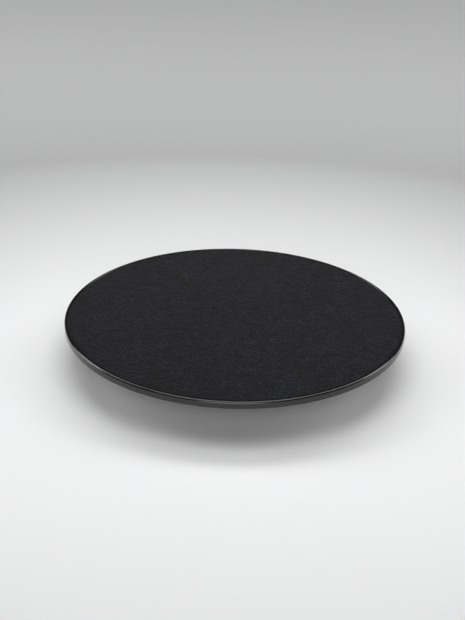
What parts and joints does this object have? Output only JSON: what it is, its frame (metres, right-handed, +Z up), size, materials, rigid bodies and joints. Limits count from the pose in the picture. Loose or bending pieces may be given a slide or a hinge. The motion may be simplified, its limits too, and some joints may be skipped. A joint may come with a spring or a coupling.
{
  "type": "motorised display turntable",
  "caption": "Low round display turntable: felt-topped platter with a raised gloss rim, turned slowly by a geared motor inside a small round base.",
  "frame": {"origin": "on the spindle's axis, at the plane that the rubber feet stand on", "axes": "+Z up along the spindle, +Y towards the switch and adaptor socket at the rear, -Y towards the battery door"},
  "size_m": [0.355, 0.355, 0.045],
  "materials": {
    "felt": "matt",
    "gloss_black": "gloss",
    "matt_black": "satin",
    "rubber": "matt",
    "steel": "satin",
    "bronze": "satin",
    "brass": "satin",
    "nylon": "satin",
    "gearbox_grey": "satin",
    "board_green": "satin",
    "cell_jacket": "gloss",
    "nickel": "gloss",
    "ivory": "satin",
    "component_black": "satin",
    "red_wire": "satin",
    "black_wire": "satin"
  },
  "bodies": {
    "base": {"base_lower": "matt_black", "base_upper": "matt_black", "upper_bush": "bronze", "lower_bush": "bronze", "thrust_washer": "nylon", "base_screws": "steel", "rubber_feet": "rubber", "roller_axles": "steel", "gearbox_tray": "gearbox_grey", "gearbox_cover": "gearbox_grey", "gearbox_screws": "steel", "gear_axles": "steel", "motor_can": "steel", "motor_end_cap": "component_black", "motor_terminals": "brass", "motor_screws": "steel", "battery_cells": "cell_jacket", "battery_contacts": "nickel", "circuit_board": "board_green", "board_screws": "steel", "capacitor": "cell_jacket", "diode": "component_black", "wire_sockets": "ivory", "dc_jack": "component_black", "dc_pin": "nickel", "switch_body": "component_black", "wires_red": "red_wire", "wires_black": "black_wire"},
    "platter": {"platter": "gloss_black", "display_mat": "felt", "platter_hub": "matt_black", "platter_screws": "steel", "spindle_screw": "steel", "spindle": "steel", "output_gear": "nylon", "drive_pin": "steel"},
    "compound_gear_3": {"compound_gear_3": "nylon"},
    "compound_gear_2": {"compound_gear_2": "nylon"},
    "compound_gear_1": {"compound_gear_1": "nylon"},
    "motor_rotor": {"motor_shaft": "steel", "motor_pinion": "brass"},
    "roller_1": {"roller_1": "nylon"},
    "roller_2": {"roller_2": "nylon"},
    "roller_3": {"roller_3": "nylon"},
    "battery_door": {"battery_door": "matt_black"},
    "switch_knob": {"switch_knob": "component_black"}
  },
  "joints": [
    {"name": "platter_spin", "type": "hinge", "parent": "base", "child": "platter", "pos_m": [0, 0, 0.02], "axis": [0, 0, 1], "continuous": true},
    {"name": "compound_gear_3_spin", "type": "hinge", "parent": "base", "child": "compound_gear_3", "pos_m": [-0.02806, 0.0162, 0.02], "axis": [0, 0, 1], "continuous": true},
    {"name": "compound_gear_2_spin", "type": "hinge", "parent": "base", "child": "compound_gear_2", "pos_m": [-0.00727, 0.0282, 0.018], "axis": [0, 0, 1], "continuous": true},
    {"name": "compound_gear_1_spin", "type": "hinge", "parent": "base", "child": "compound_gear_1", "pos_m": [0.00651, 0.03977, 0.012], "axis": [0, 0, 1], "continuous": true},
    {"name": "motor_spin", "type": "hinge", "parent": "base", "child": "motor_rotor", "pos_m": [0.02451, 0.03977, 0.012], "axis": [0, 0, 1], "continuous": true},
    {"name": "roller_1_spin", "type": "hinge", "parent": "base", "child": "roller_1", "pos_m": [0.06495, 0.0375, 0.033], "axis": [0.866, 0.5, 0], "continuous": true},
    {"name": "roller_2_spin", "type": "hinge", "parent": "base", "child": "roller_2", "pos_m": [-0.06495, 0.0375, 0.033], "axis": [-0.866, 0.5, 0], "continuous": true},
    {"name": "roller_3_spin", "type": "hinge", "parent": "base", "child": "roller_3", "pos_m": [0, -0.075, 0.033], "axis": [0, -1, 0], "continuous": true},
    {"name": "battery_door_slide", "type": "slide", "parent": "base", "child": "battery_door", "axis": [0, -1, 0], "range_m": [0, 0.07]},
    {"name": "switch_slide", "type": "slide", "parent": "base", "child": "switch_knob", "axis": [1, 0, 0], "range_m": [0, 0.004]}
  ],
  "couplings": [
    {"joint": "compound_gear_3_spin", "follows": "platter_spin", "ratio": -5},
    {"joint": "compound_gear_2_spin", "follows": "platter_spin", "ratio": 20},
    {"joint": "compound_gear_1_spin", "follows": "platter_spin", "ratio": -80},
    {"joint": "motor_spin", "follows": "platter_spin", "ratio": 400},
    {"joint": "roller_1_spin", "follows": "platter_spin", "ratio": -15},
    {"joint": "roller_2_spin", "follows": "platter_spin", "ratio": -15},
    {"joint": "roller_3_spin", "follows": "platter_spin", "ratio": -15}
  ]
}
